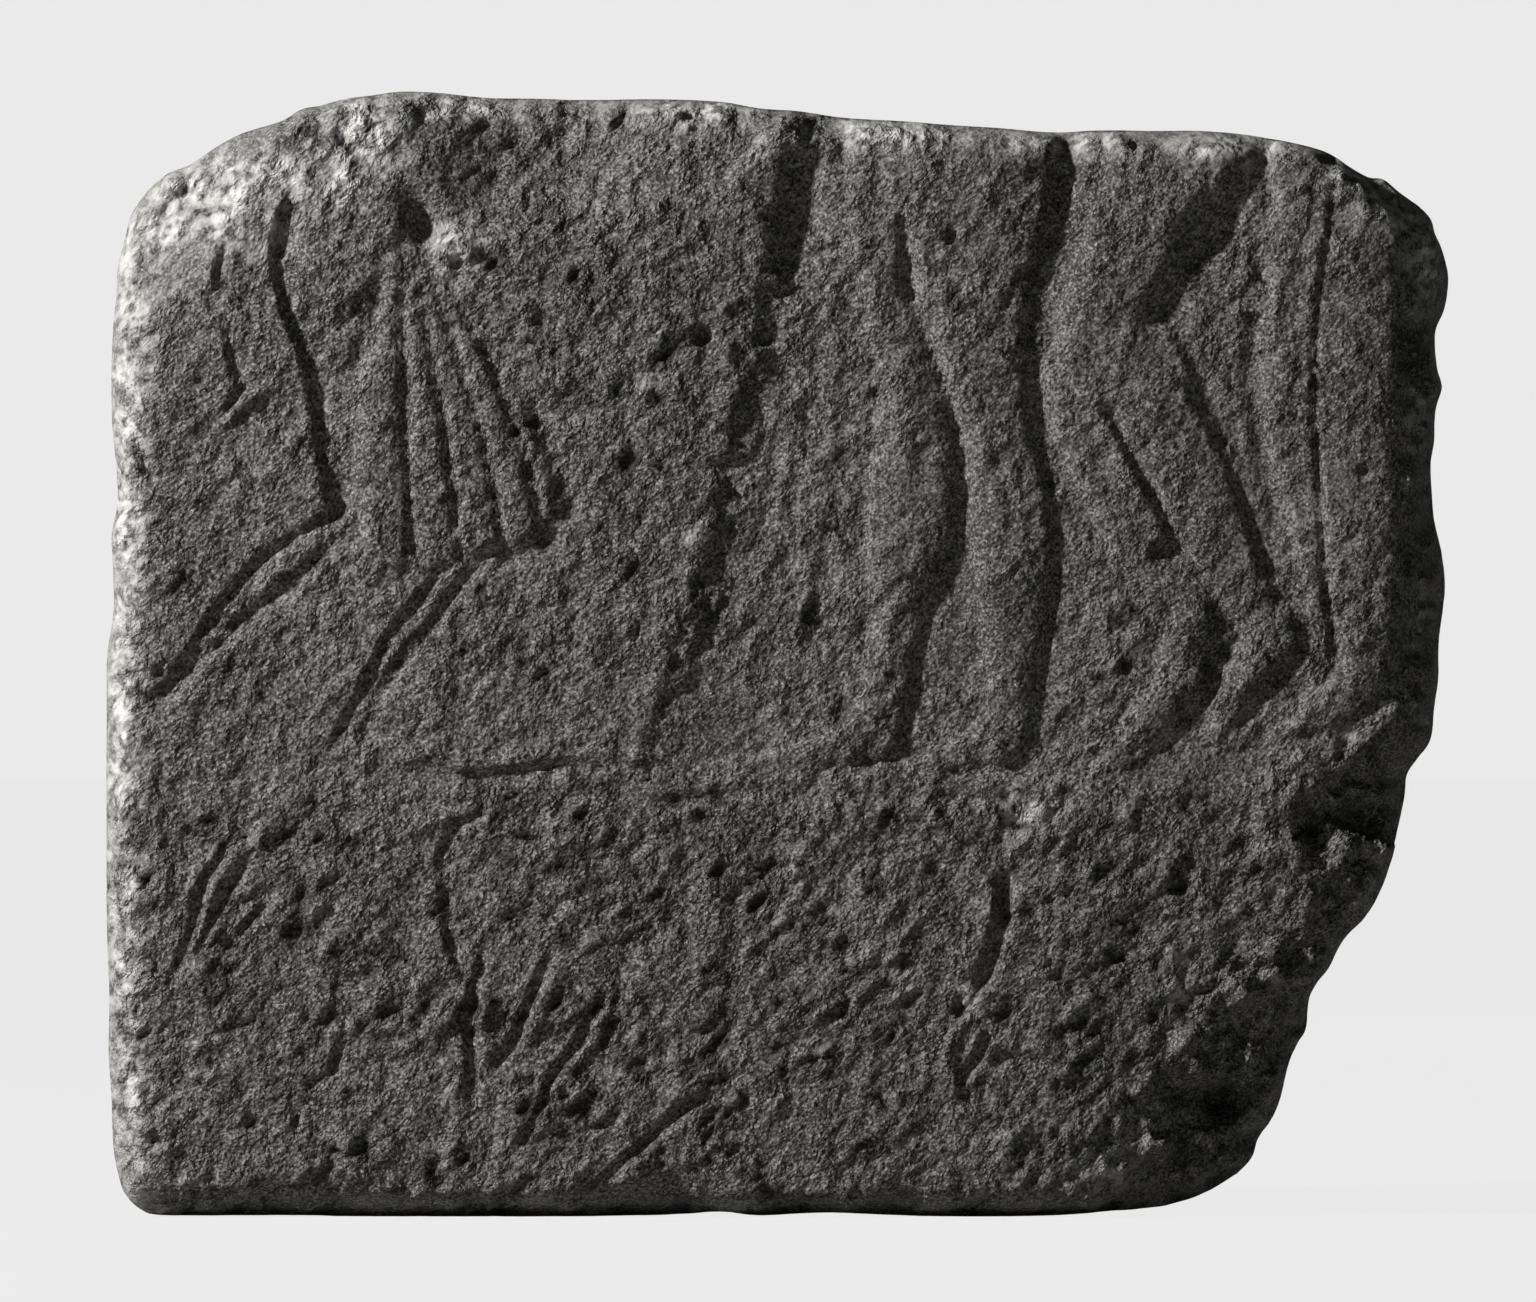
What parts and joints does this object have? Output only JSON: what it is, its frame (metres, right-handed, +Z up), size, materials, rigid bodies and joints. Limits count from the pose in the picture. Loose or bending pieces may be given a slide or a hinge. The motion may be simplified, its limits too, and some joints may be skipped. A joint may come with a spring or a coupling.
{
  "type": "stone relief panel",
  "caption": "Worn rectangular stone building block with the lower halves of bowing and standing figures carved in shallow relief on its front, over a ground line.",
  "frame": {"origin": "centre of the block's extents at the level of its dressed underside", "axes": "+Z up, -Y out of the carved front, +X to the right as seen facing the carving"},
  "size_m": [0.27, 0.08, 0.226],
  "materials": {
    "stone": "weathered, granular"
  },
  "bodies": {
    "root": {"relief_panel": "stone"}
  },
  "joints": []
}
